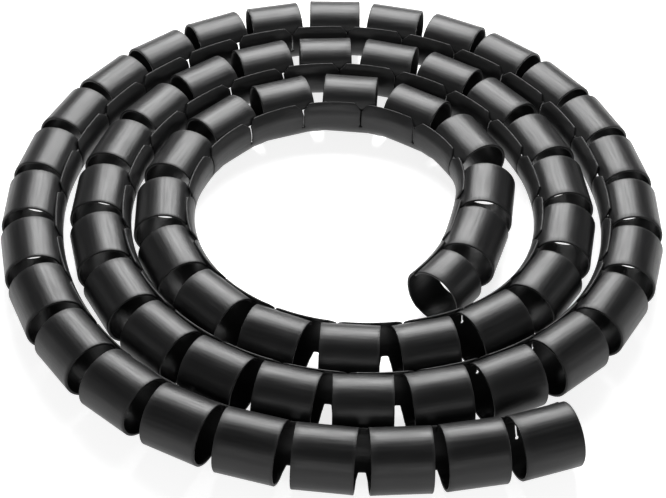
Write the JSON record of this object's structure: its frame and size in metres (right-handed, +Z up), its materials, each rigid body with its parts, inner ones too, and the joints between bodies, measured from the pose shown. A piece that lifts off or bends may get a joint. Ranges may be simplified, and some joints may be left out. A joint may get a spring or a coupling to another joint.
{
  "type": "spiral cable wrap",
  "caption": "Slit plastic tube with interlocking fingers that wraps round a bundle of cables, lying as a flat coil with both ends open.",
  "frame": {"origin": "on the floor, under the middle of the coil's box", "axes": "+Z up out of the flat coil, the outer end of the tube lies towards +X and -Y, and the coil winds inwards clockwise as seen from above"},
  "size_m": [0.307, 0.3166, 0.028],
  "materials": {
    "black_plastic": "satin"
  },
  "bodies": {
    "root": {"cable_wrap": "black_plastic"}
  },
  "joints": []
}
